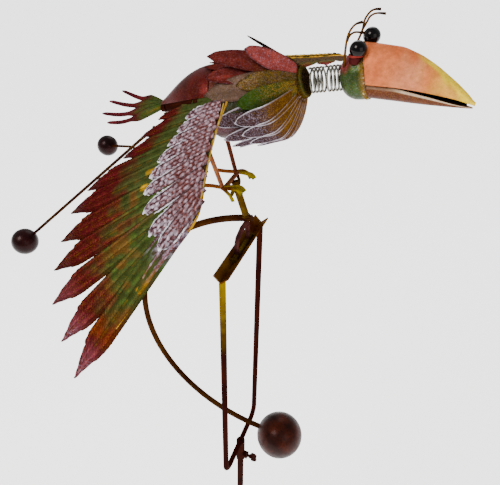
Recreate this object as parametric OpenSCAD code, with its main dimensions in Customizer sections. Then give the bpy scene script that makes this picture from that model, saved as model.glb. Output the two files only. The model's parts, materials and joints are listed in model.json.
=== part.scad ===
// Balancing garden bird: a sheet-metal toucan that rocks on a V-groove bearing
// above a ground stake, with two flapping wings and a head on a spring neck.
// Millimetres, +Z up, beak towards +X. The origin is on the pole's axis at ground level.

/* [Stake] */
// Height of the rocking axis above the ground
pivot_h = 900; // [820:10:1400]
// Diameter of the pole
pole_d = 12.7; // [12:0.1:13.5]
// Length of the spike below the ground
spike_l = 150; // [100:10:250]
// Diameter of the spike below the ground
spike_d = 10; // [8:0.5:11]
// Height above the ground where the two pole sections meet
pole_split = 190; // [120:10:240]
// Spread of the ground fork's two outer prongs
prong_span = 90; // [60:5:140]

/* [Yoke] */
// Diameter of the yoke's bent rod
yoke_d = 9.5; // [8:0.5:10]
// Distance between the yoke's two legs, centre to centre
yoke_span = 144; // [136:1:150]
// Depth from the rocking axis to the yoke's bottom bar
yoke_drop = 477; // [477:1:520]
// Radius of the yoke's two lower bends
yoke_bend = 22; // [16:1:30]
// Length of the bearing channel
channel_l = 155; // [153:1:190]
// Width of each of the channel's two flanges
flange_w = 16; // [14:0.5:17]
// Sheet thickness of the channel
channel_t = 2; // [1.5:0.5:2.5]

/* [Rocker] */
// Diameter of the bar that rocks in the groove
pivot_bar_d = 7; // [6:0.5:8]
// Radius of the curved arm that carries the counterweight
arm_r = 234; // [228:1:236]
// Rod diameter of the arm and the perch stem
arm_d = 9.5; // [8:0.5:10]
// Diameter of the counterweight ball
ball_d = 82.4; // [78:0.2:84]
// Diameter of the hollow inside the counterweight ball, which sets the resting tilt
ball_core_d = 55.6; // [50:0.1:60]

/* [Bird] */
// Tilt of the wing hinges, nose up
hinge_pitch = 18; // [15:1:20]
// Droop of the right wing at rest
wing_droop = 25; // [20:1:28]
// Droop of the left wing at rest
left_droop = 18; // [16:1:20]
// Forward sweep of the left wing on its hinge tube
left_sweep = 14; // [12:1:15]
// Distance of each wing hinge from the middle of the bird
hinge_y = 68; // [66:1:72]
// Thickness of the wings' flight feathers
sheet_t = 1.1; // [0.9:0.1:1.2]
// Diameter of the ball that balances the right wing
right_ball_d = 34.3; // [32:0.1:36]
// Diameter of the ball that balances the left wing, which reaches further out
left_ball_d = 35.7; // [33:0.1:37]
// Outer diameter of the neck spring
neck_d = 28; // [24:1:30]
// Wire diameter of the neck spring
neck_wire = 2.2; // [1.8:0.2:2.4]
// Diameter of the eyes
eye_d = 18; // [15:0.5:19]

/* [Hidden] */
$fn = 48;

eps = 0.01;
rust = "#4a2a1c";
dark_rust = "#33201a";
olive = "#6b5527";
copper = "#d98a5f";
gold = "#c9a227";
feather_red = "#7d2f2b";
feather_green = "#4f6338";
feather_grey = "#6f6470";

pole_r = pole_d / 2;
yoke_r = yoke_d / 2;
arm_rod_r = arm_d / 2;
// Height of the rocking bar's axis above the inside corner of the groove
bar_z = pivot_bar_d / 2 * sqrt(2);
sleeve_wall = 1.8;
sleeve_r = pole_r + 0.08 + sleeve_wall;
sleeve_l = 60;
screw_z = -yoke_drop - 44;
screw_r = 3;
arm_c = [56, -177];
arm_start = 100.5;
arm_end = 270;
ball_c = [77, 0, -415];
// The tail end of the body's rear shell and its axis tilt
rear_p = [-109, 0, 192];
rear_tilt = 15;
rear_l = 88;
// The rear end of the body's front shell and its axis tilt
front_p = [-32, 0, 208];
front_tilt = 22;
front_l = 112;
// Start of the neck spring, its tilt and its length
neck_p = [77.5, 0, 252.2];
neck_tilt = 14;
neck_l = 37;
neck_turns = 4;
hinge_p = [10, hinge_y, 248];
pin_r = 2;
tube_r = 4;
tube_s = [-78, -44];
eye_s = [-82, -40];

// ---------- Helpers ----------

// Lift from the rocking axis to the object's own origin
module at_pivot() {
    translate([0, 0, pivot_h]) children();
}

// Round rod between two points
module rod(a, b, r) {
    v = b - a;
    l = norm(v);
    translate(a)
        rotate([0, acos(v[2] / l), atan2(v[1], v[0])])
            cylinder(h = l, r = r);
}

// Round rod bent along a list of points; ref is a direction that the rod never runs along
module rod_path(p, r, ref = [0, 1, 0], sides = 10) {
    n = len(p);
    dirs = [for (i = [0 : n - 2]) unit(p[i + 1] - p[i])];
    pts = [for (i = [0 : n - 1])
        let (
            t = unit(dirs[max(i - 1, 0)] + dirs[min(i, n - 2)]),
            u = unit(cross(ref, t)),
            v = cross(t, u)
        )
        for (j = [0 : sides - 1]) p[i] + r * (cos(360 * j / sides) * u + sin(360 * j / sides) * v)];
    polyhedron(points = pts, faces = tube_faces(n, sides));
}

function unit(v) = v / norm(v);

// Faces of a closed tube made of n rings of points
function tube_faces(n, sides) = concat(
    [[for (j = [0 : sides - 1]) j]],
    [for (i = [0 : n - 2]) for (j = [0 : sides - 1])
        [i * sides + j, (i + 1) * sides + j, (i + 1) * sides + (j + 1) % sides, i * sides + (j + 1) % sides]],
    [[for (j = [sides - 1 : -1 : 0]) (n - 1) * sides + j]]
);

// Pointed oval leaf along +X from the origin, made of two arcs
module leaf(l, w) {
    r = (l * l / 4 + w * w / 4) / w;
    translate([l / 2, 0])
        intersection() {
            translate([0, r - w / 2]) circle(r, $fn = 96);
            translate([0, w / 2 - r]) circle(r, $fn = 96);
        }
}

// Straight-sided feather from point a to point b with a tapered tip
module blade(a, b, w) {
    v = b - a;
    l = norm(v);
    translate(a)
        rotate(atan2(v[1], v[0]))
            polygon([[0, -w / 2], [l * 0.72, -w / 2], [l, 0], [l * 0.72, w / 2], [0, w / 2]]);
}

// Frames of the body, the neck and the left wing; +X runs along each axis
module rear_frame() {
    at_pivot() translate(rear_p) rotate([0, -rear_tilt, 0]) children();
}
module front_frame() {
    at_pivot() translate(front_p) rotate([0, -front_tilt, 0]) children();
}
module neck_frame() {
    at_pivot() translate(neck_p) rotate([0, -neck_tilt, 0]) children();
}
module hinge_frame(side) {
    mirror([0, side < 0 ? 1 : 0, 0])
        at_pivot() translate(hinge_p) rotate([0, -hinge_pitch, 0]) children();
}
module wing_frame(side) {
    hinge_frame(side) rotate([side > 0 ? -left_droop : -wing_droop, 0, 0]) children();
}
module swept(side) {
    rotate(side > 0 ? -left_sweep : 0) children();
}

// Turn a profile drawn as [along, radius] about the X axis
module spin_x() {
    rotate([0, 90, 0]) rotate([0, 0, 180]) rotate_extrude($fn = 64) children();
}
module x_tube(x0, x1, r_out, r_in) {
    translate([x0, 0, 0]) rotate([0, 90, 0])
        difference() {
            cylinder(h = x1 - x0, r = r_out);
            translate([0, 0, -1]) cylinder(h = x1 - x0 + 2, r = r_in);
        }
}

// ---------- Stake ----------

module ground_fork() {
    bar_y = prong_span / 2;
    bar_h = 30;
    prong_r = 4;
    color(dark_rust)
        difference() {
            union() {
                for (s = [-1, 1]) {
                    translate([0, s * bar_y, 4 - spike_l]) cylinder(h = spike_l + bar_h - 4, r = prong_r);
                    translate([0, s * bar_y, -spike_l - 16]) cylinder(h = 20, r1 = 0.6, r2 = prong_r);
                    translate([0, s * bar_y, bar_h]) sphere(prong_r);
                }
                translate([0, -bar_y, bar_h]) rotate([-90, 0, 0]) cylinder(h = 2 * bar_y, r = prong_r);
            }
            cylinder(h = 200, r = pole_r, center = true);
        }
}

module pole_lower() {
    color(dark_rust) {
        cylinder(h = pole_split, r = pole_r);
        translate([0, 0, -spike_l]) cylinder(h = spike_l, r = spike_d / 2);
        translate([0, 0, -spike_l - 22]) cylinder(h = 22, r1 = 1, r2 = spike_d / 2);
    }
}

module pole_coupling() {
    color(dark_rust)
        translate([0, 0, pole_split - 35])
            difference() {
                cylinder(h = 70, r = pole_r + 1.8);
                translate([0, 0, -1]) cylinder(h = 72, r = pole_r);
            }
}

module pole_upper() {
    color(dark_rust)
        translate([0, 0, pole_split])
            cylinder(h = pivot_h - yoke_drop - yoke_r - 4 - pole_split, r = pole_r);
}

// ---------- Yoke ----------

module yoke_sleeve() {
    color(rust)
        at_pivot()
            difference() {
                translate([0, 0, -yoke_drop - sleeve_l]) cylinder(h = sleeve_l, r = sleeve_r);
                translate([0, 0, -yoke_drop - sleeve_l - 1])
                    cylinder(h = sleeve_l - yoke_r - 1, r = pole_r + 0.08);
                translate([0, -60, -yoke_drop]) rotate([-90, 0, 0]) cylinder(h = 120, r = yoke_r);
                translate([0, 0, screw_z]) rotate([0, 90, 0]) cylinder(h = 40, r = screw_r);
            }
}

module yoke_bail() {
    half = yoke_span / 2;
    color(rust)
        at_pivot()
            difference() {
                union() {
                    for (s = [-1, 1]) {
                        translate([0, s * half, yoke_bend - yoke_drop])
                            cylinder(h = yoke_drop - yoke_bend + 8, r = yoke_r);
                        translate([0, s * (half - yoke_bend), yoke_bend - yoke_drop])
                            rotate([90, s > 0 ? 0 : 180, 90])
                                rotate([s > 0 ? 0 : 180, 0, 0])
                                    rotate([0, 0, -90])
                                        rotate_extrude(angle = 90) translate([yoke_bend, 0]) circle(yoke_r);
                    }
                    translate([0, yoke_bend - half, -yoke_drop]) rotate([-90, 0, 0])
                        cylinder(h = yoke_span - 2 * yoke_bend, r = yoke_r);
                }
                groove_solid(30);
            }
}

// The space on and above the outside of the channel
module groove_solid(top) {
    o = channel_t * sqrt(2);
    rotate([90, 0, 0])
        linear_extrude(height = channel_l + 20, center = true)
            polygon([[0, -bar_z - o], [top, top - bar_z - o], [-top, top - bar_z - o]]);
}

module bearing_channel() {
    o = channel_t * sqrt(2);
    f = flange_w / sqrt(2);
    color(dark_rust)
        at_pivot()
            rotate([90, 0, 0])
                linear_extrude(height = channel_l, center = true)
                    polygon([
                        [0, -bar_z - o], [f, f - bar_z - o], [f - o / 2, f - bar_z - o / 2],
                        [0, -bar_z], [o / 2 - f, f - bar_z - o / 2], [-f, f - bar_z - o]
                    ]);
}

module channel_stops() {
    color(dark_rust)
        at_pivot()
            for (s = [-1, 1])
                translate([0, s * 33, 0])
                    rotate([90, 0, 0])
                        linear_extrude(height = 3, center = true)
                            polygon([[0, -bar_z], [7, 7 - bar_z], [-7, 7 - bar_z]]);
}

module screw_nut() {
    color(rust)
        at_pivot()
            difference() {
                translate([0, 0, screw_z]) rotate([0, 90, 0])
                    translate([0, 0, 4]) cylinder(h = sleeve_r + 3, r = 7, $fn = 6);
                translate([0, 0, screw_z - 20]) cylinder(h = 40, r = sleeve_r);
                translate([0, 0, screw_z]) rotate([0, 90, 0]) cylinder(h = 40, r = screw_r + 0.05);
            }
}

module thumb_screw() {
    color(rust)
        at_pivot()
            translate([0, 0, screw_z])
                rotate([0, 90, 0]) {
                    translate([0, 0, pole_r + 0.05]) cylinder(h = 16, r = screw_r - 0.02);
                    translate([0, 0, pole_r + 13]) cylinder(h = 5, r = 4.5);
                    translate([0, 0, pole_r + 20.5]) rotate([90, 0, 0])
                        linear_extrude(height = 2.4, center = true)
                            intersection() {
                                for (s = [-1, 1]) translate([s * 5.5, 0]) circle(7.5);
                                translate([-20, -4]) square([40, 20]);
                            }
                }
}

// ---------- Rocking frame ----------

module pivot_bar() {
    color(dark_rust)
        at_pivot() rotate([90, 0, 0]) cylinder(h = 62, r = pivot_bar_d / 2, center = true);
}

fork_top = [7, 0, 47];
module rocker_fork() {
    r = 3.5;
    color("#5a3a3a")
        at_pivot()
            difference() {
                union()
                    for (s = [-1, 1])
                        rod_path(
                            [[0, s * 20, 0], [-1, s * 21, 14], [0, s * 18, 28], [3, s * 9, 40], fork_top],
                            r, [1, 0, 0], 16
                        );
                rotate([90, 0, 0]) cylinder(h = 80, r = pivot_bar_d / 2, center = true);
                arm_solid();
            }
}

module arm_solid() {
    translate([arm_c[0], 0, arm_c[1]])
        rotate([90, 0, 0])
            rotate([0, 0, arm_start])
                rotate_extrude(angle = arm_end - arm_start, $fn = 180) translate([arm_r, 0]) circle(arm_rod_r);
}

module counterweight_arm() {
    color(olive)
        at_pivot()
            difference() {
                arm_solid();
                translate(ball_c) sphere(ball_d / 2, $fn = 96);
            }
}

module counterweight_ball() {
    color(rust)
        at_pivot() translate(ball_c)
            difference() {
                sphere(ball_d / 2, $fn = 96);
                sphere(ball_core_d / 2);
            }
}

stem_top = [-12, 0, 105];
module perch_stem() {
    color(olive)
        at_pivot()
            difference() {
                rod([5, 0, 54], stem_top, arm_rod_r);
                arm_solid();
                rod([-16, -40, 107], [-16, 40, 107], 3);
            }
}

module foot_crossbar() {
    color(copper) at_pivot() rod([-16, -19, 107], [-16, 19, 107], 3);
}

module leg(side) {
    color(side < 0 ? copper : rust)
        at_pivot() rod([-19, side * 22, 104], [-46, side * 29, 189], 2.8);
}

module foot(side) {
    y = side * 22;
    p = [-19, y, 106];
    color("#a89a3a")
        at_pivot() {
            rod_path([[-44, y, 103], p, [-2, y - side * 4, 108], [8, y - side * 4, 104]], 1.9);
            rod_path([p, [-8, y + side * 9, 104], [-1, y + side * 10, 95]], 1.9, [0, 0, 1]);
            rod_path([p, [-9, y - side * 10, 100], [-13, y - side * 13, 88]], 1.9, [1, 1, 0]);
        }
}

// ---------- Body ----------

// Shell of revolution about +X from [along, radius] points, open at both ends
module shell_x(p, t) {
    n = len(p);
    rotate([0, 90, 0])
        rotate_extrude($fn = 64)
            polygon(concat(
                [for (i = [0 : n - 1]) [p[i][1], p[i][0]]],
                [for (i = [n - 1 : -1 : 0]) [p[i][1] - t, p[i][0]]]
            ));
}

module rear_body_shell() {
    n = 10;
    color(feather_red)
        rear_frame()
            shell_x([for (i = [0 : n]) [rear_l * i / n, 6 + 35 * pow(sin(100 * i / n), 1.1)]], 1.2);
}

module front_body_shell() {
    n = 12;
    color(feather_green)
        front_frame()
            shell_x([for (i = [0 : n]) [front_l * i / n, 18 + 23 * cos(90 * i / n) + 5 * sin(180 * i / n)]], 1.2);
}

module neck_collar() {
    color(gold) front_frame() x_tube(front_l, front_l + 4, 19, 6);
}

// Ring of leaf feathers fanned round the body, welded to a band whose front edge is at x
module feather_ring(angles, l, w, r, lift, x) {
    front_frame() {
        x_tube(x - 4, x, r + 1.6, r);
        for (a = angles)
            rotate([a, 0, 0])
                translate([x - 1, 0, r + 0.4])
                    rotate([0, lift - 180, 0])
                        translate([0, 0, -1]) linear_extrude(height = 1) leaf(l, w);
    }
}

module back_feathers() {
    color(feather_red) feather_ring([-41, 0, 41], 88, 21, 20.5, 24, front_l);
}
module flank_feathers() {
    color(feather_green) feather_ring([-112, -75, 75, 112], 88, 26, 22.4, 25, front_l - 4);
}
module breast_feathers_inner() {
    color(feather_grey) feather_ring([-160, -136, 136, 160], 82, 20, 24, 26, front_l - 8);
}
module breast_feathers_outer() {
    color(feather_grey) feather_ring([-148, -122, 122, 148, 180], 56, 20, 25.6, 34, front_l - 12);
}

module tail_fan() {
    color(feather_green)
        rear_frame()
            union() {
                translate([-3, 0, 0]) rotate([0, 90, 0]) cylinder(h = 3, r = 6);
                for (i = [-1.5 : 1 : 1.5])
                    translate([-2, 0, 0])
                        rotate([0, -8, 0])
                            rotate([0, 0, 180 + i * 15])
                                translate([0, 0, -0.6]) linear_extrude(height = 1.2) leaf(76 - abs(i) * 4, 11);
            }
}

// ---------- Wing hinges ----------

module hinge_pin(side) {
    color("silver")
        hinge_frame(side) translate([eye_s[0] - 4, 0, 0]) rotate([0, 90, 0])
            cylinder(h = eye_s[1] - eye_s[0] + 8, r = pin_r);
}

module wing_bracket(side) {
    color(rust)
        difference() {
            hinge_frame(side)
                for (s = eye_s) {
                    rod([s, 0, 0], [s, -38, -22], 2.5);
                    x_tube(s - 2.5, s + 2.5, tube_r, pin_r);
                }
            hinge_frame(side) translate([-90, 0, 0]) rotate([0, 90, 0]) cylinder(h = 100, r = pin_r);
        }
}

// ---------- Wings ----------

FEATHERS = [
    [[-20, 12], [-84, 17]], [[-14, 24], [-98, 40]], [[-10, 38], [-112, 68]], [[-4, 50], [-144, 108]],
    [[-2, 70], [-153, 137]], [[-1, 90], [-149, 172]], [[-2, 108], [-141, 205]], [[-2, 126], [-124, 241]],
    [[-4, 140], [-94, 276]], [[-4, 150], [-64, 307]]
];
COVERTS = [
    [[-8, 14], [-45, 25]], [[-6, 24], [-49, 43]], [[-5, 38], [-55, 62]], [[-4, 50], [-60, 82]],
    [[-2, 66], [-63, 102]], [[-1, 82], [-62, 122]], [[-1, 100], [-54, 146]], [[0, 118], [-37, 172]],
    [[1, 132], [-20, 188]]
];
EDGE = [[0, 8], [-2, 36], [-1, 70], [4, 112], [8, 140], [6, 160], [-6, 188], [-20, 221], [-34, 254], [-47, 276]];

module wing_plate(z, t) {
    translate([0, 0, z]) linear_extrude(height = t) children();
}

module flight_feathers(side) {
    color(feather_red)
        wing_frame(side)
            difference() {
                wing_plate(-sheet_t / 2, sheet_t) {
                    swept(side) {
                        for (f = FEATHERS) blade(f[0], f[1], 27);
                        polygon([
                            [0, 8], [-80, 8], [-70, 40], [-40, 120], [-10, 190],
                            [6, 160], [8, 140], [4, 112], [-2, 70]
                        ]);
                    }
                    translate([tube_s[0] + 4, 3]) square([tube_s[1] - tube_s[0] - 8, side > 0 ? 28 : 8]);
                }
                translate([-90, 0, 0]) rotate([0, 90, 0]) cylinder(h = 100, r = tube_r);
            }
}

module coverts(side) {
    color(feather_grey)
        wing_frame(side)
            wing_plate(sheet_t / 2, 0.8)
                swept(side) {
                    for (f = COVERTS) blade(f[0], f[1], 18);
                    polygon([
                        [-4, 12], [-20, 14], [-30, 60], [-30, 110], [-14, 160],
                        [-2, 168], [2, 140], [-2, 112], [-8, 70]
                    ]);
                }
}

module edge_strip(side) {
    color(gold)
        wing_frame(side)
            wing_plate(-sheet_t / 2 - 1.4, 1.4)
                swept(side) polygon(concat(EDGE, [for (i = [len(EDGE) - 1 : -1 : 0]) EDGE[i] - [4.5, 0]]));
}

module hinge_tube(side) {
    color(rust) wing_frame(side) x_tube(tube_s[0], tube_s[1], tube_r, pin_r + 0.08);
}

// Counterweight rods cross under the body; the right wing's rod passes below the left's
LEFT_ROD = [[-275, -121, 15], [-147, 0, 140], [-50, 88, 220]];
RIGHT_ROD = [[-296, 121, 45], [-230, 91, 70], [-135, 5, 114], [-74, -84, 205]];

module wing_ball(p, d) {
    color(dark_rust)
        at_pivot() translate(p) sphere(d / 2, $fn = 64);
}

module counter_rod(p, side) {
    color(dark_rust)
        difference() {
            at_pivot() rod_path(p, 2, [0, 0, 1], 16);
            at_pivot() translate(p[0]) sphere((side > 0 ? left_ball_d : right_ball_d) / 2, $fn = 64);
            wing_frame(side) translate([-200, -20, -sheet_t / 2]) cube([300, 400, 100]);
        }
}

// ---------- Neck and head ----------

// Wire coiled along +X
module coil(r, pitch, turns, wire_r) {
    steps = 20;
    sides = 8;
    n = turns * steps;
    pts = [for (i = [0 : n]) for (j = [0 : sides - 1])
        let (a = 360 * i / steps, b = 360 * j / sides, q = r + wire_r * cos(b))
        [pitch * a / 360 + wire_r * sin(b), q * cos(a), -q * sin(a)]];
    polyhedron(points = pts, faces = tube_faces(n + 1, sides));
}

module neck_spring(part) {
    half = neck_l / 2;
    pitch = (half - neck_wire) / neck_turns;
    color("silver")
        neck_frame()
            translate([part * half + neck_wire / 2, 0, 0])
                coil(neck_d / 2 - neck_wire / 2, pitch, neck_turns, neck_wire / 2 - eps);
}

module head_shell() {
    color(feather_green)
        neck_frame()
            translate([neck_l + 0.4, 0, 0])
                shell_x([[0, 14], [3, 18], [7, 21.5], [12, 23.5], [18, 24], [24, 24]], 1.2);
}

module beak_rim() {
    color(gold)
        neck_frame() translate([neck_l + 0.4, 0, 0]) x_tube(24, 27, 24, 8);
}

// Points of the upper and lower beak, drawn in by g all round for the hollow inside
module beak_upper_form(g) {
    hull() {
        translate([141 - 4 * g, 0, 298 - g]) sphere(1, $fn = 8);
        translate([171 - g, 0, 299 - g]) sphere(1, $fn = 8);
        translate([206 - 2 * g, 0, 285 - g]) sphere(1, $fn = 8);
        translate([249 - 6 * g, 0, 254 + g]) sphere(1, $fn = 8);
        for (s = [-1, 1]) {
            translate([140 - 4 * g, s * (22 - g), 264 + g]) sphere(1, $fn = 8);
            translate([175 - g, s * (17 - g), 262 + g]) sphere(1, $fn = 8);
        }
    }
}

module beak_lower_form(g) {
    hull() {
        for (s = [-1, 1]) {
            translate([140 - 4 * g, s * (20 - g), 259 - g]) sphere(1, $fn = 8);
            translate([141 - 4 * g, s * (16 - g), 247 + g]) sphere(1, $fn = 8);
            translate([175 - g, s * (15 - g), 256 - g]) sphere(1, $fn = 8);
            translate([190 - g, s * (8 - g), 247 + g]) sphere(1, $fn = 8);
        }
        translate([247 - 8 * g, 0, 250]) sphere(1, $fn = 8);
    }
}

module beak_upper() {
    color(copper)
        at_pivot()
            difference() {
                beak_upper_form(0);
                beak_upper_form(1.2);
                beak_back();
            }
}

module beak_lower() {
    color("#a5603f")
        at_pivot()
            difference() {
                beak_lower_form(0);
                beak_lower_form(1.2);
                beak_back();
            }
}

// Everything behind the beak rim's front face
module beak_back() {
    translate(neck_p)
        rotate([0, -neck_tilt, 0])
            translate([neck_l + 27.4 - 100, -50, -100]) cube([100, 100, 200]);
}

// The left eye sits higher and further forward, on a longer stalk
function eye_p(side) = side > 0 ? [135, 15, 302.5] : [128, -15, 296];

module eye(side) {
    color("black") at_pivot() translate(eye_p(side)) sphere(eye_d / 2);
}

module eye_seats() {
    color(gold)
        at_pivot() {
            difference() {
                translate([126, -14, 282]) cylinder(h = 8, r = 6);
                translate(eye_p(-1)) sphere(eye_d / 2);
            }
            difference() {
                rod([126, 14, 282], [131.5, 15, 297], 4);
                translate(eye_p(1)) sphere(eye_d / 2);
            }
        }
}

lash_r = 1.1;
left_lash = [[115.5, 15, 276], [120, 16.5, 292], [124, 17, 306], [125, 17, 317], [130, 16, 326], [140, 16, 329.5]];
left_lash_fork = [[124.2, 17, 309], [128.5, 13, 316], [133, 12.5, 324], [146, 12, 326.5]];
right_lash = [[115.5, -15, 276], [115.8, -17, 296], [116.2, -17, 308], [120, -16, 318], [129, -16, 323.5]];
right_lash_fork = [[116.2, -17, 304], [120.5, -13, 311], [132, -13, 312.5]];

module lashes(side) {
    color(copper)
        at_pivot() {
            rod_path(side > 0 ? left_lash : right_lash, lash_r);
            rod_path(side > 0 ? left_lash_fork : right_lash_fork, lash_r);
        }
}

ground_fork();
pole_lower();
pole_coupling();
pole_upper();
yoke_sleeve();
yoke_bail();
bearing_channel();
channel_stops();
screw_nut();
thumb_screw();
pivot_bar();
rocker_fork();
perch_stem();
counterweight_arm();
counterweight_ball();
foot_crossbar();
leg(1);  // leg_left
leg(-1);  // leg_right
foot(1);  // foot_left
foot(-1);  // foot_right
rear_body_shell();
front_body_shell();
neck_collar();
back_feathers();
flank_feathers();
breast_feathers_inner();
breast_feathers_outer();
tail_fan();
wing_bracket(1);  // wing_bracket_left
wing_bracket(-1);  // wing_bracket_right
hinge_pin(1);  // hinge_pin_left
hinge_pin(-1);  // hinge_pin_right
neck_spring(0);  // neck_spring_rear
neck_spring(1);  // neck_spring_front
head_shell();
beak_rim();
beak_upper();
beak_lower();
eye(1);  // eye_left
eye(-1);  // eye_right
eye_seats();
lashes(1);  // lashes_left
lashes(-1);  // lashes_right
flight_feathers(1);  // left_flight_feathers
coverts(1);  // left_coverts
edge_strip(1);  // left_edge_strip
hinge_tube(1);  // left_hinge_tube
counter_rod(LEFT_ROD, 1);  // left_counter_rod
wing_ball(LEFT_ROD[0], left_ball_d);  // left_ball
flight_feathers(-1);  // right_flight_feathers
coverts(-1);  // right_coverts
edge_strip(-1);  // right_edge_strip
hinge_tube(-1);  // right_hinge_tube
counter_rod(RIGHT_ROD, -1);  // right_counter_rod
wing_ball(RIGHT_ROD[0], right_ball_d);  // right_ball
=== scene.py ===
import json
import math
import bpy
import numpy as np
from mathutils import Matrix, Vector


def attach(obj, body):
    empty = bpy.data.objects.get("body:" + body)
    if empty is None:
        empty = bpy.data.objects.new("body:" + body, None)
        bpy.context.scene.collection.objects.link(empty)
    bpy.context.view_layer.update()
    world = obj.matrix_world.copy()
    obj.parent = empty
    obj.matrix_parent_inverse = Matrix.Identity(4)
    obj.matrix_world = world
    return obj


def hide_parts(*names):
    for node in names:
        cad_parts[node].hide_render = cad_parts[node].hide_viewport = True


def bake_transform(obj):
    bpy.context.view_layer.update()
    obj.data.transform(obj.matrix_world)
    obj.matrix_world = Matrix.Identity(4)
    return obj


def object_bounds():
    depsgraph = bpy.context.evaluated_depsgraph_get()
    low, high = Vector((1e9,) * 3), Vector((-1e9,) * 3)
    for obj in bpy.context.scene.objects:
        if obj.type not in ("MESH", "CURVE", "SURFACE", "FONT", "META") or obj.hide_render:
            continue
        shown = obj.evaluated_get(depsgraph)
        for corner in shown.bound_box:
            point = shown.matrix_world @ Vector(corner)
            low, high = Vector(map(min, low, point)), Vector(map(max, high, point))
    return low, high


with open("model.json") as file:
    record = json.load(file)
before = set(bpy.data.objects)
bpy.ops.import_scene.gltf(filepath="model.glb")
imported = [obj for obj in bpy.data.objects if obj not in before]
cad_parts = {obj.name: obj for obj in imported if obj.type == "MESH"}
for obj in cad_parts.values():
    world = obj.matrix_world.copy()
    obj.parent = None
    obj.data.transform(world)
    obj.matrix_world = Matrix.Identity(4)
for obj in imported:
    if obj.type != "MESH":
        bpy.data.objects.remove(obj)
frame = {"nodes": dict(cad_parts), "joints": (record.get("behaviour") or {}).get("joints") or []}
cad_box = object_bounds()
JOINTS = {j["name"]: j for j in frame["joints"]}
PH = JOINTS["rocker_pitch"]["pos_m"][2]  # height of the rocking axis
MM = 0.001
WORD = {1: "left", -1: "right"}  # the bird's sides, with left towards +Y

# ---------- Camera ----------
AZIMUTH, ELEVATION, ROLL = (math.radians(a) for a in (20.57, 36.91, 1.16))
CAMERA_X, CAMERA_Y, CAMERA_RISE = 0.2202, -0.5570, 0.4581
SENSOR, LENS = 36, 38.16
level = math.cos(ELEVATION)
back = Vector((math.sin(AZIMUTH) * level, -math.cos(AZIMUTH) * level, math.sin(ELEVATION)))
right = Vector((math.cos(AZIMUTH), math.sin(AZIMUTH), 0))
up = back.cross(right)
c, s = math.cos(ROLL), math.sin(ROLL)
right, up = right * c + up * s, up * c - right * s
cam = bpy.data.objects.new("camera", bpy.data.cameras.new("camera"))
bpy.context.scene.collection.objects.link(cam)
cam.data.sensor_width = SENSOR
cam.data.lens = LENS
turn = Matrix((right, up, back)).transposed()
cam.matrix_world = Matrix.Translation((CAMERA_X, CAMERA_Y, PH + CAMERA_RISE)) @ turn.to_4x4()
bpy.context.scene.camera = cam


# ---------- Colours ----------
def rgb(h):
    """A hex colour in linear light, raised to a power that deepens it."""
    c = np.array([int(h[i:i + 2], 16) for i in (0, 2, 4)]) / 255
    return np.where(c < 0.04045, c / 12.92, ((c + 0.055) / 1.055) ** 2.4) ** 1.5


def mix(a, b, t):
    t = np.clip(np.asarray(t, float), 0, 1)[..., None]
    return a * (1 - t) + b * t


def step(a, b, x):
    t = np.clip((x - a) / (b - a), 0, 1)
    return t * t * (3 - 2 * t)


def three(a, g, w):
    """The fx of a patch: gold flecks, white brushing, and a third value that isn't used."""
    return np.stack(np.broadcast_arrays(a, g, w), -1)


def cell(ix, iy, seed):
    """A repeatable value from 0 to 1 for each whole-numbered place."""
    n = np.sin(ix * 127.1 + iy * 311.7 + seed * 74.7) * 43758.5453
    return n - np.floor(n)


def cloud(x, y, seed=0):
    """Smooth value noise from 0 to 1."""
    ix, iy = np.floor(x), np.floor(y)
    fx, fy = x - ix, y - iy
    fx, fy = fx * fx * (3 - 2 * fx), fy * fy * (3 - 2 * fy)
    a = cell(ix, iy, seed) * (1 - fx) + cell(ix + 1, iy, seed) * fx
    b = cell(ix, iy + 1, seed) * (1 - fx) + cell(ix + 1, iy + 1, seed) * fx
    return a * (1 - fy) + b * fy


MAROON, RED = rgb("5e2430"), rgb("863440")
GREEN, MOSS, LIME = rgb("4b5d33"), rgb("63714a"), rgb("557d33")
ORANGE, GOLD, YELLOW = rgb("9c5a2a"), rgb("b8923a"), rgb("dcb62a")
PINK, PLUM, LILAC = rgb("a0606c"), rgb("6c4450"), rgb("dcd4e6")
CREAM, TAUPE, INK = rgb("e0cd86"), rgb("7c6658"), rgb("23130f")


# ---------- Materials ----------
def nodes_of(name):
    m = bpy.data.materials.new(name)
    m.use_nodes = True
    t = m.node_tree
    t.nodes.clear()
    out = t.nodes.new("ShaderNodeOutputMaterial")
    bsdf = t.nodes.new("ShaderNodeBsdfPrincipled")
    t.links.new(bsdf.outputs[0], out.inputs[0])
    return m, t, bsdf


def noise_node(t, scale, detail=4.0, rough=0.6):
    coord = t.nodes.new("ShaderNodeTexCoord")
    n = t.nodes.new("ShaderNodeTexNoise")
    n.inputs["Scale"].default_value = scale
    n.inputs["Detail"].default_value = detail
    n.inputs["Roughness"].default_value = rough
    t.links.new(coord.outputs["Object"], n.inputs["Vector"])
    return n.outputs["Fac"]


def object_axes(t):
    coord = t.nodes.new("ShaderNodeTexCoord")
    sep = t.nodes.new("ShaderNodeSeparateXYZ")
    t.links.new(coord.outputs["Object"], sep.inputs[0])
    return sep


def ramp(t, source, stops):
    r = t.nodes.new("ShaderNodeValToRGB")
    while len(r.color_ramp.elements) < len(stops):
        r.color_ramp.elements.new(0.5)
    for e, (p, c) in zip(r.color_ramp.elements, stops):
        e.position = p
        e.color = (*c, 1) if hasattr(c, "__len__") else (c, c, c, 1)
    t.links.new(source, r.inputs[0])
    return r.outputs[0]


def blend_colours(t, fac, a, b, how="MIX"):
    m = t.nodes.new("ShaderNodeMix")
    m.data_type = "RGBA"
    m.blend_type = how
    for socket, value in ((m.inputs[0], fac), (m.inputs[6], a), (m.inputs[7], b)):
        if isinstance(value, bpy.types.NodeSocket):
            t.links.new(value, socket)
        else:
            socket.default_value = (*value, 1) if hasattr(value, "__len__") else value
    return m.outputs[2]


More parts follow.
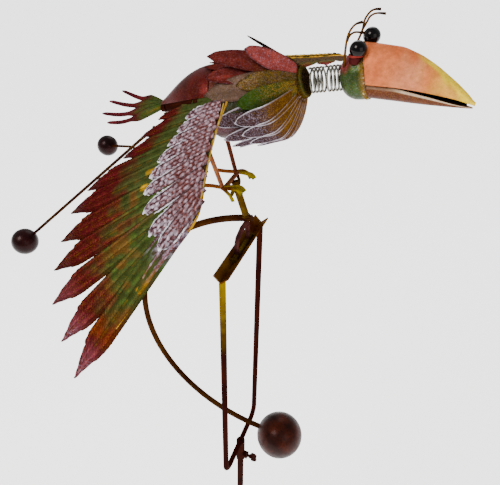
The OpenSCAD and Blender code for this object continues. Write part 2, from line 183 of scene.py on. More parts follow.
def times(t, a, b):
    m = t.nodes.new("ShaderNodeMath")
    m.operation = "MULTIPLY"
    for socket, value in zip(m.inputs, (a, b)):
        if isinstance(value, bpy.types.NodeSocket):
            t.links.new(value, socket)
        else:
            socket.default_value = value
    return m.outputs[0]


def bumped(t, bsdf, scale, strength, distance=0.0004):
    b = t.nodes.new("ShaderNodeBump")
    b.inputs["Strength"].default_value = strength
    b.inputs["Distance"].default_value = distance
    t.links.new(noise_node(t, scale, 5), b.inputs["Height"])
    t.links.new(b.outputs[0], bsdf.inputs["Normal"])


def patina(name, base, mottle, dark, metallic=0.35, rough=(0.35, 0.6), scale=60, spots=0.45,
        bump=0.35, coat=0.0225, spec=0.0):
    """Painted, rusted metal from three colours, for CAD nodes and plain pieces."""
    m, t, bsdf = nodes_of(name)
    c = blend_colours(t, ramp(t, noise_node(t, scale), [(0.38, 0.0), (0.66, 1.0)]), base, mottle)
    fleck = ramp(t, noise_node(t, scale * 9, 6, 0.7), [(0.5, 0.0), (0.68, 1.0)])
    c = blend_colours(t, times(t, fleck, spots), c, dark)
    t.links.new(c, bsdf.inputs["Base Color"])
    t.links.new(ramp(t, noise_node(t, scale * 3), [(0.3, rough[0]), (0.7, rough[1])]),
        bsdf.inputs["Roughness"])
    bsdf.inputs["Metallic"].default_value = metallic
    bsdf.inputs["Coat Weight"].default_value = coat
    bsdf.inputs["Specular IOR Level"].default_value = spec
    bsdf.inputs["Specular Tint"].default_value = (0.3, 0.26, 0.24, 1)
    bumped(t, bsdf, scale * 8, bump)
    return m


def enamel(name, metallic=0.25, speck=0.5, rough=(0.32, 0.55), bump=0.3, spec=0.0):
    """Painted sheet: colour from the mesh, with flecks of gold, white and dark from noise."""
    m, t, bsdf = nodes_of(name)
    col = t.nodes.new("ShaderNodeAttribute")
    col.attribute_name = "col"
    fx = t.nodes.new("ShaderNodeAttribute")
    fx.attribute_name = "fx"
    part = t.nodes.new("ShaderNodeSeparateColor")
    t.links.new(fx.outputs["Color"], part.inputs[0])
    c = blend_colours(t, 1.0, col.outputs["Color"],
        ramp(t, noise_node(t, 170, 6, 0.7), [(0.28, 0.72), (0.7, 1.28)]), "MULTIPLY")
    gold = ramp(t, noise_node(t, 1150, 3, 0.6), [(0.52, 0.0), (0.62, 1.0)])
    c = blend_colours(t, times(t, gold, part.outputs[0]), c, GOLD)
    white = ramp(t, noise_node(t, 640, 6, 0.75), [(0.5, 0.0), (0.66, 1.0)])
    c = blend_colours(t, times(t, white, part.outputs[1]), c, LILAC)
    dark = ramp(t, noise_node(t, 1500, 4, 0.7), [(0.5, 0.0), (0.66, 1.0)])
    c = blend_colours(t, times(t, dark, speck), c, INK)
    t.links.new(c, bsdf.inputs["Base Color"])
    t.links.new(ramp(t, noise_node(t, 260), [(0.3, rough[0]), (0.7, rough[1])]),
        bsdf.inputs["Roughness"])
    bsdf.inputs["Metallic"].default_value = metallic
    bsdf.inputs["Specular IOR Level"].default_value = spec
    bsdf.inputs["Specular Tint"].default_value = (0.3, 0.27, 0.26, 1)
    bumped(t, bsdf, 900, bump, 0.0003)
    return m


paint = enamel("feather_enamel")
smooth_paint = enamel("shell_enamel", metallic=0.3, speck=0.3, rough=(0.25, 0.42), bump=0.15,
    spec=0.12)
beak_paint = enamel("beak_enamel", metallic=0.35, speck=0.14, rough=(0.34, 0.46), bump=0.12,
    spec=0.2)
dark_iron = patina("dark_iron", rgb("55331f"), rgb("8a7832"), rgb("1c110d"), scale=26, spots=0.6)
rust = patina("rust_brown", rgb("4a2a22"), rgb("5e3626"), rgb("1f110e"))
rust_ball = patina("rust_ball", rgb("4a2a24"), rgb("6b3a26"), rgb("22120f"), scale=34, spots=0.6,
    rough=(0.3, 0.5), coat=0.045, spec=0.3)
maroon_ball = patina("maroon_ball", rgb("35181b"), rgb("4a2224"), rgb("160b0c"), rough=(0.25, 0.4),
    coat=0.06, spots=0.3, spec=0.3)
olive = patina("olive_rod", rgb("5e3a20"), rgb("86702c"), rgb("321a10"), scale=30, spots=0.5)
arm_paint = patina("arm_brown", rgb("4a261c"), rgb("6a4a22"), rgb("26140f"), scale=22)
plum_fork = patina("plum_fork", rgb("5c3a3c"), rgb("76504a"), rgb("2a1715"))
copper = patina("copper_rod", rgb("90604a"), rgb("a87a58"), rgb("4e281c"), metallic=0.4, spots=0.45)
channel_paint = patina("channel_paint", rgb("70452a"), rgb("94702c"), rgb("241510"), scale=30,
    spots=0.55)
red_brown = patina("red_brown_rod", rgb("6c382c"), rgb("845440"), rgb("3a1c16"), metallic=0.4)
gold_paint = patina("gold_paint", rgb("9c7c30"), rgb("c2a148"), rgb("4a3518"), metallic=0.5,
    scale=120)
bail_paint = patina("bail_paint", rgb("481b12"), rgb("5c2c18"), rgb("240f0a"), scale=18,
    metallic=0.2)
wire = patina("spring_wire", rgb("8a8a80"), rgb("a9a9a2"), rgb("6d3c34"), metallic=0.9,
    rough=(0.2, 0.34), spots=0.7, bump=0.1, scale=50)
gloss = patina("eye_gloss", rgb("08080b"), rgb("101018"), rgb("030304"), metallic=0.0,
    rough=(0.05, 0.1), bump=0.02, coat=0.075, spots=0.1, spec=0.5)
ring_paint = patina("eye_ring", rgb("8c3b40"), rgb("a45a50"), rgb("3d1a1a"))


def seat_sides():
    """The right eye's seat is dull red, and the left one's stalk is gold."""
    t, bsdf = seat_paint.node_tree, seat_paint.node_tree.nodes["Principled BSDF"]
    old = bsdf.inputs["Base Color"].links[0].from_socket
    sep = object_axes(t)
    right = t.nodes.new("ShaderNodeMath")
    right.operation = "LESS_THAN"
    t.links.new(sep.outputs["Y"], right.inputs[0])
    right.inputs[1].default_value = 0
    t.links.new(blend_colours(t, right.outputs[0], old, rgb("6c3a3a")), bsdf.inputs["Base Color"])


seat_paint = patina("seat_paint", rgb("9c7c30"), rgb("c2a148"), rgb("4a3518"), metallic=0.4,
    scale=120)
seat_sides()


def bail_gradient():
    """The yoke's right leg is yellow-olive near the bearing, and the rest is dark rust."""
    t, bsdf = bail_paint.node_tree, bail_paint.node_tree.nodes["Principled BSDF"]
    old = bsdf.inputs["Base Color"].links[0].from_socket
    sep = object_axes(t)
    span = t.nodes.new("ShaderNodeMapRange")
    span.inputs["From Min"].default_value = PH - 0.15
    span.inputs["From Max"].default_value = PH - 0.02
    t.links.new(sep.outputs["Z"], span.inputs["Value"])
    near = t.nodes.new("ShaderNodeMapRange")
    near.inputs["From Min"].default_value = 0.02
    near.inputs["From Max"].default_value = -0.02
    t.links.new(sep.outputs["Y"], near.inputs["Value"])
    patch = times(t, ramp(t, noise_node(t, 40), [(0.3, 0.35), (0.6, 1.0)]), near.outputs[0])
    t.links.new(blend_colours(t, times(t, span.outputs[0], patch), old, rgb("a08a1c")),
        bsdf.inputs["Base Color"])


bail_gradient()


# ---------- Mesh helpers ----------
def P(x, y, z):
    """A point in mm from the rocking axis, in metres in the frame."""
    x, y, z = (np.asarray(k, float) * MM for k in (x, y, z))
    return np.stack(np.broadcast_arrays(x, y, PH + z), -1)


def finish_mesh(name, verts, faces, mat, col=None, fx=None, thick=0.0, flat=False):
    me = bpy.data.meshes.new(name)
    me.from_pydata([tuple(v) for v in verts], [], faces)
    me.update()
    if col is not None:
        for key, data in (("col", col), ("fx", fx if fx is not None else np.zeros_like(col))):
            a = me.attributes.new(key, "FLOAT_COLOR", "POINT")
            rgba = np.concatenate([data, np.ones((len(data), 1))], 1)
            a.data.foreach_set("color", rgba.astype(np.float32).ravel())
    me.materials.append(mat)
    if not flat:
        me.shade_smooth()
    o = bpy.data.objects.new(name, me)
    bpy.context.scene.collection.objects.link(o)
    if thick:
        s = o.modifiers.new("sheet", "SOLIDIFY")
        s.thickness = thick * MM
        s.offset = 0
    return o


class Batch:
    """Several patches gathered into one mesh."""
    def __init__(self):
        self.v, self.f, self.c, self.x, self.n = [], [], [], [], 0

    def grid(self, pts, col=None, fx=None, wrap=False, flip=False):
        nu, nv = pts.shape[:2]
        i, j = np.meshgrid(np.arange(nu - 1), np.arange(nv if wrap else nv - 1), indexing="ij")
        a, b = i * nv + j, i * nv + (j + 1) % nv
        q = np.stack([a, b, b + nv, a + nv], -1).reshape(-1, 4) + self.n
        if flip:
            q = q[:, ::-1]
        self.f += q.tolist()
        self.v.append(pts.reshape(-1, 3))
        full = np.zeros(pts.shape)
        self.c.append((full + (col if col is not None else 0)).reshape(-1, 3))
        self.x.append((full + (fx if fx is not None else 0)).reshape(-1, 3))
        self.n += nu * nv

    def cap(self, first, count, flip=False):
        face = list(range(first, first + count))
        self.f.append(face[::-1] if flip else face)

    def make(self, name, mat, **kw):
        return finish_mesh(name, np.concatenate(self.v), self.f, mat, np.concatenate(self.c),
            np.concatenate(self.x), **kw)


def spline(points, per=8):
    """Points of a smooth curve through the given points."""
    p = np.array(points, float)
    p = np.vstack([2 * p[0] - p[1], p, 2 * p[-1] - p[-2]])
    out = []
    for k in range(1, len(p) - 2):
        for t in np.linspace(0, 1, per, endpoint=False):
            a, b, c, d = p[k - 1:k + 3]
            square, cube = 2 * a - 5 * b + 4 * c - d, 3 * b - a - 3 * c + d
            out.append(0.5 * (2 * b + (c - a) * t + square * t * t + cube * t ** 3))
    return np.array(out + [p[-2]])


def tube_rings(pts, radii, sides=12, squash=None, ref=(0, 0, 1)):
    """Rings round a path; radii in mm, squash narrows a ring across ref."""
    pts = np.asarray(pts, float)
    t = np.gradient(pts, axis=0)
    t /= np.linalg.norm(t, axis=1)[:, None]
    u = np.cross(t[0], ref)
    u /= np.linalg.norm(u)
    rings = []
    squash = np.ones(len(pts)) if squash is None else squash
    for k in range(len(pts)):
        u = u - t[k] * (u @ t[k])
        u /= np.linalg.norm(u)
        v = np.cross(t[k], u)
        a = np.linspace(0, 2 * math.pi, sides, endpoint=False)[:, None]
        rings.append(pts[k] + radii[k] * (np.cos(a) * u / squash[k] + np.sin(a) * v * squash[k]))
    return np.array(rings)


def add_tube(batch, pts, radii, colour=None, **kw):
    pts = np.asarray(pts, float)
    radii = np.broadcast_to(np.asarray(radii, float), (len(pts),)).copy()
    r = tube_rings(pts, radii, **kw)
    first = batch.n
    cols = None if colour is None else (colour if np.ndim(colour) == 3
        else np.broadcast_to(colour, (len(pts), 3))[:, None, :])
    batch.grid(P(r[..., 0], r[..., 1], r[..., 2]), cols, wrap=True)
    sides = r.shape[1]
    batch.cap(first, sides, flip=True)
    batch.cap(first + (len(pts) - 1) * sides, sides)


def turned(origin, tilt):
    """A function from mm in axes with X tilted nose-up to the frame."""
    c, s = math.cos(math.radians(tilt)), math.sin(math.radians(tilt))

    def place(x, y, z):
        x, y, z = np.broadcast_arrays(x, y, z)
        return P(origin[0] + x * c - z * s, origin[1] + y, origin[2] + x * s + z * c)
    return place


HINGE = np.array(JOINTS["left_wing_flap"]["pos_m"])
AXIS = JOINTS["left_wing_flap"]["axis"]
PITCH = math.degrees(math.atan2(AXIS[2], AXIS[0]))
DROOP = {1: math.radians(18), -1: math.radians(25)}
SWEEP = {1: math.radians(14), -1: 0.0}
NECK_X, NECK_Z, NECK_TILT = 77.5, 252.2, 14
NECK_COS, NECK_SIN = math.cos(math.radians(NECK_TILT)), math.sin(math.radians(NECK_TILT))
front = turned((-32, 0, 208), 22)
rear = turned((-109, 0, 192), 15)
neck = turned((NECK_X, 0, NECK_Z), NECK_TILT)


def wing_place(side):
    """A function from chord, span and height in mm on one wing to the frame."""
    o = (HINGE - np.array([0, 0, PH])) / MM
    lift = turned((o[0], 0, o[2]), PITCH)
    d, q = DROOP[side], SWEEP[side]

    def place(s, t, z):
        s, t = s * math.cos(q) + t * math.sin(q), t * math.cos(q) - s * math.sin(q)
        y = t * math.cos(d) + z * math.sin(d)
        h = -t * math.sin(d) + z * math.cos(d)
        return lift(s, side * (o[1] + y), h)
    return place


# ---------- Wings ----------
# Points are chord and span from the hinge in mm, the same on both wings
TIPS = [(-84, 17), (-98, 40), (-112, 68), (-144, 108), (-153, 137), (-149, 172), (-141, 205),
    (-124, 241), (-94, 276), (-64, 306)]
ROOTS = [(-20, 12), (-14, 24), (-10, 38), (-4, 50), (-2, 70), (-1, 90), (-2, 108), (-2, 126),
    (-4, 140), (-4, 150)]
LEAD = [(0, 8), (-2, 36), (-1, 70), (4, 112), (8, 140), (6, 160), (-6, 188), (-20, 221), (-34, 254),
    (-47, 276)]
COVER = [(-45, 25), (-49, 43), (-55, 62), (-60, 82), (-63, 102), (-62, 122), (-54, 146), (-37, 172),
    (-20, 188)]
COVER_ROOTS = [(-4, 14), (-4, 24), (-3.5, 38), (-3, 50), (-2, 66), (-0.5, 82), (1, 100), (3.5, 118),
    (4.5, 132)]
# Share of each feather's length where its red begins
RED_FROM = [0.62, 0.62, 0.64, 0.66, 0.64, 0.62, 0.64, 0.68, 0.7, 0.7]
YELLOW_SPOTS = ((-61, 94), (-61, 114))
BLADE_HALF, POINT_L = 14.6, 35  # a flight feather's half width and the length of its point
COVERT_HALF, SPOT_ROW, SPOT_STEP = 10.4, 4.9, 6.8  # half width and the embossed spots' spacing
FAR_SHADE = 0.35  # painted shade: how much of its colour the far wing's plain sheet keeps
# painted shade: the dark brown mixed into the far wing's feathers and web
FAR_SHADE_BROWN, DARK_LASH, PALE_LASH, OLD_LASH = (
    rgb(h) for h in ("4a3030", "6e4a2c", "8a6a3c", "4a3420"))


def lead_at(span):
    """The leading edge's chord at a span."""
    return np.interp(span, [p[1] for p in LEAD], [p[0] for p in LEAD])


def blade_axes(root, tip):
    """A blade's root, its direction, the direction across it, and its length."""
    a = np.array(root, float)
    d = np.array(tip, float) - a
    length = np.hypot(*d)
    d /= length
    n = np.array([-d[1], d[0]])
    return a, d, -n if n[1] < 0 else n, length


def flight(side):
    """Notched and veined flight feathers with the web that joins them."""
    place = wing_place(side)
    b = Batch()
    nu, nv = 96, 27
    for k, (root, tip) in enumerate(zip(ROOTS, TIPS)):
        a, d, n, length = blade_axes(root, tip)
        u, v = np.meshgrid(np.linspace(0, 1, nu), np.linspace(-1, 1, nv), indexing="ij")
        dist = (1 - u) * length
        blunt = 1.0 if k < 9 else 1.1
        lance = np.clip(dist / (POINT_L * blunt), 0, 1)
        wide = BLADE_HALF * (1 - (1 - lance) ** 1.75)
        notch = step(28.5, 27.5, dist) * 2.4 * step(0, 10, dist) + 0.9 * step(35.5, 34.5, dist)
        tooth = np.where(v < 0, notch, step(20.5, 19.5, dist) * 1.2 * step(0, 8, dist))
        half = np.maximum(wide - np.clip(tooth, 0, wide * 0.5), 0.25)
        half = np.where(u < 0.08, half * (0.75 + u / 0.08 * 0.25), half)
        s = a[0] + d[0] * u * length + n[0] * v * half
        t = a[1] + d[1] * u * length + n[1] * v * half
        fold = np.abs(np.sin(1.5 * math.pi * v + 0.3)) ** 0.7
        along = u * length
        barb = np.sin(2 * math.pi * (along * 0.32 - np.abs(v - 0.1) * half * 0.34))
        tipward = step(0.35, 0.8, u)
        rach = np.exp(-((v - 0.05) / 0.07) ** 2)
        z = 0.3 + 0.55 * (1 - v) + 1.5 * fold * step(0.0, 0.2, u) * step(0.0, 0.12, 1 - u)
        z = z + 0.28 * barb * tipward + 0.5 * rach
        z -= 0.8 * step(0.93, 1.0, u)
        blot = cloud(along / 9 + k * 3, v * 1.6 + k * 5, 3)
        blot2 = cloud(along / 4 + k * 7, v * 3.0 + k * 2, 5)
        c = mix(mix(GREEN, MOSS, blot), LIME, 0.75 * step(0.5, 0.8, blot2) * (1 if k > 5 else 0.25))
        turn_red = step(RED_FROM[k] - 0.13, RED_FROM[k] + 0.1,
            u + 0.16 * (blot - 0.5) + 0.05 * np.abs(v))
        reds = mix(mix(RED, MAROON, 0.25 + 0.5 * blot2), MAROON, 0.8 * step(0.8, 1.0, u))
        if k >= 5:
            c = mix(c, ORANGE, 0.4 * step(0.56, 0.8, blot) * step(0.3, 0.45, u))
            c = mix(c, mix(RED, MAROON, blot),
                0.6 * step(0.6, 0.8, cloud(along / 14 + k, v + k, 9)))
        c = mix(c, reds, turn_red)
        if k >= 7:
            c = mix(c, mix(PINK, RED, blot2 * 0.6), (0.55 if k == 7 else 0.9) * step(0.78, 0.88, u))
        if k == 9:
            c = mix(mix(PLUM, LILAC, 0.55 * step(0.45, 0.7, blot2)), c,
                step(0.22, 0.36, u + 0.08 * blot))
            c = mix(c, ORANGE, 0.6 * step(0.55, 0.65, u) * step(0.84, 0.76, u) * blot)
        c = mix(c, rgb("77705c"), 0.3 * blot2 * (1 - turn_red))
        near_tip = sum(np.exp(-(s - s0) ** 2 / 70 - (t - t0) ** 2 / 20) for s0, t0 in YELLOW_SPOTS)
        c = mix(c, mix(GOLD, YELLOW, blot2), 0.85 * step(0.25, 0.6, near_tip * (0.3 + 1.2 * blot2)))
        # painted shade: on the far wing the feathers darken to brown towards their roots
        if side > 0:
            c = mix(c, FAR_SHADE_BROWN, 0.7 * step(0.65, 0.35, u))
        groove = 1 - step(0.0, 0.35, fold)
        c = mix(c, INK, 0.55 * groove)
        c = mix(c, mix(GOLD, ORANGE, blot), 0.4 * rach * step(0.4, 0.7, blot2))
        c = mix(c, c * 0.35, 0.75 * tipward * step(0.0, 0.7, -barb))
        edge = step(0.84, 0.97, np.abs(v)) * step(0.3, 0.55, u)
        c = mix(c, INK, 0.62 * np.maximum(edge, step(0.965, 1.0, u)))
        flecks = 0.12 + 0.35 * rach * blot2 + (0.22 if k >= 5 else 0.04) * step(0.3, 0.5, u) * blot
        brushing = (0.5 if k == 9 else 0) * step(0.35, 0.1, u)
        brushing = brushing + (0.4 if k >= 8 else 0.1) * step(0.85, 0.95, u)
        speck = three(flecks, brushing, 0)
        # painted shade: on the far wing the lowest feather keeps a fifth of its flecks and white
        # brushing
        b.grid(place(s, t, z), c, speck * (0.2 if side > 0 and k == 9 else 1), flip=side > 0)
    # the web between the hinge and the leading edge, below the feathers
    span = 8 + 244 * np.linspace(0, 1, 60)
    lead = np.stack([lead_at(span), span], -1)
    inner = np.stack([np.interp(span, [8, 40, 120, 190, 252], [-80, -66, -30, -25, -48]), span], -1)
    w = np.linspace(0, 1, 12)[None, :, None]
    g = lead[:, None] * (1 - w) + inner[:, None] * w
    tone = cloud(g[..., 0] / 6, g[..., 1] / 6, 2)
    c = mix(mix(GREEN, MOSS, tone), RED, step(0.55, 0.8, cloud(g[..., 0] / 11, g[..., 1] / 11, 8)))
    web_fx = three(0.4 + 0 * tone, 0, 0)
    # painted shade: the far wing's web is browned and darkened
    if side > 0:
        c = mix(c, FAR_SHADE_BROWN, 0.7 + 0 * tone) * FAR_SHADE
    b.grid(place(g[..., 0], g[..., 1], 0 * tone - 0.2), c, web_fx, flip=side > 0)
    return b.make(WORD[side] + "_flight_plumage", paint, thick=0.7)


def covert_pieces(side):
    """The embossed coverts and the line along their leading edge."""
    place = wing_place(side)
    b = Batch()
    nu, nv = 70, 21
    for k, (root, tip) in enumerate(zip(COVER_ROOTS, COVER)):
        a, d, n, length = blade_axes(root, tip)
        u, v = np.meshgrid(np.linspace(0, 1, nu), np.linspace(-1, 1, nv), indexing="ij")
        dist = (1 - u) * length
        half = COVERT_HALF * np.clip(dist / 13, 0, 1) ** 0.55 * (0.8 + 0.2 * step(0, 0.3, u))
        half = np.maximum(half - 0.9 * step(0.2, 0.8, np.sin(dist * 0.62)) * step(30, 6, dist), 0.3)
        s = a[0] + d[0] * u * length + n[0] * v * half
        t = a[1] + d[1] * u * length + n[1] * v * half
        along = u * length
        warp = cloud(along / 5, v * 2 + 3 * k, 12)
        rows = v * half / SPOT_ROW
        across = 0.5 + 0.5 * np.cos(2 * math.pi * rows + 1.4 * (warp - 0.5))
        staggered = along / SPOT_STEP + 0.5 * np.floor(rows + 0.5) + 0.35 * warp
        lengthwise = 0.5 + 0.5 * np.cos(2 * math.pi * staggered)
        scale_ridge = step(0.12, 0.75, across * (0.25 + 0.75 * lengthwise))
        tipward = step(0.35, 0.9, u)
        dome = step(0.0, 0.3, 1 - np.abs(v)) * step(0, 0.1, 1 - u)
        z = 1.6 + 0.5 * (1 - v) + 0.9 * scale_ridge + 0.9 * dome
        blot = cloud(along / 5 + 11 * k, v * 2 + k, 4)
        c = mix(mix(rgb("885450"), rgb("6c4c5a"), tipward), rgb("9a6e6a"), 0.6 * blot)
        c = mix(c, rgb("4a2b30"), 0.7 * step(0.35, 0.05, across * (0.4 + 0.6 * lengthwise)))
        brushed = step(0.35, 0.95, scale_ridge) * step(0.2, 0.75, cloud(along / 1.2, v * 9 + k, 6))
        if k == 8:
            brushed = step(0.55, 0.95, across) * step(0.35, 0.65, cloud(along / 4, v * 6, 6))
        swirl = step(0.5, 0.7, cloud(along / 1.7 + 5 * k, v * 5.5, 8)) * (0.35 + 0.65 * tipward)
        c = mix(c, rgb("ddd0da"), np.clip((0.4 + 0.4 * tipward) * brushed + 0.6 * swirl, 0, 0.92))
        c = mix(c, rgb("4a2b30"), 0.75 * step(0.6, 0.72, np.abs(v)) * step(0.86, 0.8, np.abs(v))
            * step(0.3, 0.5, u))
        rim = np.maximum(step(0.8, 0.9, np.abs(v)), step(0.93, 0.97, u)) * step(0.4, 0.6, u)
        # the white rims are real paint, dimmed on the far wing as painted shade
        c = mix(c, rgb("f4f0f6"), (0.25 if side > 0 else 0.95) * rim)
        c = mix(c, rgb("3c2429"), 0.7 * step(0.8, 0.88, np.abs(v)) * step(0.5, 0.3, u))
        fx = three(0.12, 0.3 * scale_ridge + 0.1 + 0.3 * rim, 0)
        # painted shade: the far wing's coverts are darkened and lose most of their flecks and
        # brushing
        if side > 0:
            c, fx = mix(c, rgb("4a2f36"), 0.75 + 0 * u), fx * 0.25
        b.grid(place(s, t, z), c, fx, flip=side > 0)
    # cream-gold line along the coverts' leading edge
    edge = spline([(-2, 12, 2.4), (0, 40, 2.6), (2, 80, 2.6), (5, 112, 2.6), (7, 132, 2.5),
        (2, 150, 2.4), (-8, 172, 2.4), (-20, 187, 2.2)], 8)
    line = Batch()
    rings = tube_rings(edge, np.full(len(edge), 0.65), sides=8)
    tone = cloud(edge[:, 1] / 4, edge[:, 0] / 4, 2)
    line.grid(place(rings[..., 0], rings[..., 1], rings[..., 2]),
        np.broadcast_to(mix(CREAM, GOLD, tone)[:, None], rings.shape), wrap=True)
    trim = line.make(WORD[side] + "_covert_line", paint)
    return b.make(WORD[side] + "_covert_plumage", paint, thick=0.6), trim


def edge_band(side):
    """Folded leading edge: purple and white near the coverts, gold and green towards the tip."""
    place = wing_place(side)
    b = Batch()
    path = spline([(x, y, 0.4) for x, y in LEAD], 10)
    tone = cloud(path[:, 1] / 5, path[:, 0] / 5, 3)
    line = mix(mix(GOLD, YELLOW, tone), rgb("7a7030"),
        step(0.55, 0.75, cloud(path[:, 1] / 9, 0 * tone, 5)))
    line = mix(line, RED, 0.6 * step(255, 275, path[:, 1]))
    rings = tube_rings(path, np.full(len(path), 0.8), sides=8)
    b.grid(place(rings[..., 0], rings[..., 1], rings[..., 2]),
        np.broadcast_to(line[:, None], rings.shape), np.broadcast_to([0.6, 0.15, 0], rings.shape),
        wrap=True)
    # strip of small embossed dashes between the coverts and the edge
    q = np.linspace(0, 1, 120)
    t0 = 112 + q * 118
    outer = lead_at(t0) - 0.8
    width = 17 * np.sin(math.pi * np.clip(q * 0.8 + 0.12, 0, 1)) ** 0.6
    w = np.linspace(0, 1, 22)
    s = outer[:, None] - width[:, None] * w[None, :]
    t = t0[:, None] + 0 * w[None, :]
    dash = np.sin(t / 1.9 + 3.2 * w[None, :]) * (0.5 + 0.5 * np.cos(5 * math.pi * w[None, :]))
    fold = np.abs(np.sin(2 * math.pi * w[None, :])) + 0 * t
    z = 0.95 + 1.3 * fold + 0.4 * step(0.2, 0.8, dash)
    blot = cloud(s / 5, t / 5, 7)
    c = mix(mix(rgb("7a4a50"), rgb("8d5a55"), blot), rgb("40242a"), 0.6 * step(0.25, 0.0, fold))
    c = mix(c, LILAC, 0.75 * step(0.3, 0.9, dash) * cloud(s / 1.5, t / 1.5, 1)
        + 0.4 * step(0.8, 1.0, fold) * blot)
    c = mix(c, mix(GREEN, GOLD, blot), step(0.72, 0.95, q)[:, None] * np.ones_like(s))
    fx = three(0.2 + 0.5 * step(0.6, 0.9, q)[:, None] + 0 * s, 0.55 * step(0.9, 0.6, q)[:, None], 0)
    # painted shade: the far wing's strip is darkened and loses most of its flecks and brushing
    if side > 0:
        c, fx = c * FAR_SHADE, fx * 0.3
    b.grid(place(s, t, z), c, fx, flip=side > 0)
    return b.make(WORD[side] + "_edge_band", paint, thick=0.5)


for side, word in WORD.items():
    body = word + "_wing"
    f = flight(side)
    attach(f, body)
    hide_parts(word + "_flight_feathers")
    c, trim = covert_pieces(side)
    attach(c, body)
    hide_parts(word + "_coverts")
    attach(trim, body)
    g = edge_band(side)
    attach(g, body)
    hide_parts(word + "_edge_strip")


# ---------- Body feathers ----------
def leaf_patch(b, angle, x0, l, w, r0, rise, bulge, style, seed, lean=0.0):
    """One leaf on the body, from x0 on the collar to the rear; lean rolls it about its length."""
    u, v = np.meshgrid(np.linspace(0, 1, 46), np.linspace(-1, 1, 15), indexing="ij")
    shape = np.clip(np.sin(math.pi * np.clip(u * 0.86 + 0.12, 0, 1)), 0, 1) ** 0.62
    half = np.maximum(w / 2 * shape * np.sqrt(np.clip((1 - u) / 0.09, 0, 1)), 0.3)
    x = x0 - u * l
    crown = np.sin(math.pi / 2 * np.clip(u * (0.6 + 1.7 * bulge ** 3), 0, 1)) ** 0.9
    r = r0 + rise * ((1 - bulge) * u + bulge * crown)
    th = math.radians(angle) + 0 * u
    side = v * half * math.cos(math.radians(lean))
    cup = 0.10 * (v * half) ** 2 / (w / 2)
    vein = np.exp(-(v / 0.12) ** 2) * step(1, 0.6, u)
    r = r + v * half * math.sin(math.radians(lean)) - cup + 0.9 * step(0.75, 0.95, np.abs(v))
    r = r + 0.9 * vein
    y = -np.sin(th) * r + np.cos(th) * side
    z = np.cos(th) * r + np.sin(th) * side
    along = u * l
    blot = cloud(along / 6 + seed * 3, v * 1.6 + seed, seed)
    fine = cloud(along / 1.6 + seed, v * 6 + seed, seed + 3)
    rim = np.maximum(step(0.8, 0.93, np.abs(v)), step(0.94, 0.99, u))
    c, fx = style(u, v, blot, fine, rim)
    b.grid(front(x, y, z), c, fx)


def red_style(u, v, blot, fine, rim):
    c = mix(mix(rgb("702a2a"), rgb("863f3a"), blot), rgb("7c4a40"), 0.4 * fine)
    c = mix(c, mix(GREEN, rgb("7a6030"), fine), 0.55 * step(0.4, 0.1, u + 0.2 * blot))
    return mix(c, MAROON * 0.6, 0.6 * rim), three(0.55 * step(0.6, 0.1, u) + 0.1, 0.08, 0)


def olive_style(u, v, blot, fine, rim):
    c = mix(mix(rgb("6a3f34"), rgb("7a6a3a"), fine), rgb("4e5a30"), 0.6 * blot)
    return mix(c, rgb("3a1a18"), 0.5 * rim), three(0.5 + 0 * u, 0.12, 0)


def moss_style(u, v, blot, fine, rim):
    c = mix(mix(rgb("3c4a36"), rgb("4f6040"), blot), rgb("55504a"), 0.5 * fine)
    return mix(c, rgb("2c3826"), 0.5 * rim), three(0.2, 0.12, 0) + 0 * c


def pink_style(u, v, blot, fine, rim):
    c = mix(rgb("b4665e"), rgb("9a504a"), blot)
    return mix(c, MAROON * 0.6, 0.75 * rim), three(0.05, 0.25, 0)


def taupe_style(u, v, blot, fine, rim):
    c = mix(mix(TAUPE, rgb("7d6a58"), blot), GREEN, 0.7 * step(0.5, 0.1, u))
    return mix(c, rgb("5d3a34"), 0.4 * rim), three(0.4 * step(0.5, 0.1, u), 0.1, 0)


def green_style(u, v, blot, fine, rim):
    c = mix(mix(GREEN, rgb("46702f"), 0.8 * step(0.25, 0.8, u)), rgb("5f6a30"), 0.5 * blot)
    c = mix(c, rgb("8a7636"), 0.5 * step(0.3, 0.0, u))
    return mix(c, rgb("3d5a2c"), 0.5 * rim), three(0.85 * step(0.75, 0.2, u) + 0.1, 0.06, 0)


def grey_style(u, v, blot, fine, rim):
    c = mix(mix(rgb("4a3030"), rgb("604a50"), blot), rgb("3c2222"), 0.7 * step(0.35, 0.75, fine))
    c = mix(c, mix(rgb("6e4e2c"), rgb("8a6a34"), fine), 0.75 * step(0.65, 0.2, u + 0.2 * blot))
    edge = np.maximum(step(0.88, 0.97, np.abs(v)),
        step(0.965, 0.99, u)) * (0.55 + 0.45 * step(0.2, 0.5, blot)) * (0.3
        + 0.7 * step(0.22, 0.45, u))
    return mix(c, rgb("e6e0e8"), 0.85 * edge), three(0.45 * step(0.75, 0.25, u) + 0.15,
        0.36 * step(0.25, 0.6, u), 0)


def dark_style(u, v, blot, fine, rim):
    c = mix(rgb("2a2220"), rgb("3a2e2a"), blot)
    return mix(c, INK, 0.5 * rim), three(0.1, 0.05, 0)


def ring_of(name, node, band, leaves):
    """A band round the collar, at (x, radius) in mm, with its leaves."""
    b = Batch()
    x0, r0 = band
    a = np.linspace(0, 2 * math.pi, 64, endpoint=False)
    ring = np.array([[x0 - 3, r0 + 1.2], [x0 - 2, r0 + 0.6], [x0 - 1, r0 + 0.1], [x0, r0 - 0.6]])
    y = ring[:, 1][:, None] * np.sin(a)
    z = ring[:, 1][:, None] * np.cos(a)
    x = ring[:, 0][:, None] + 0 * y
    tone = cloud(a * 6, a * 2, 4)[None, :] + 0 * y
    b.grid(front(x, y, z), mix(rgb("3e3420"), rgb("6b5a2c"), tone), three(0.35 + 0 * y, 0, 0),
        wrap=True)
    for leaf in leaves:
        leaf_patch(b, *leaf)
    o = b.make(name, paint, thick=0.8)
    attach(o, "rocker")
    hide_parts(node)


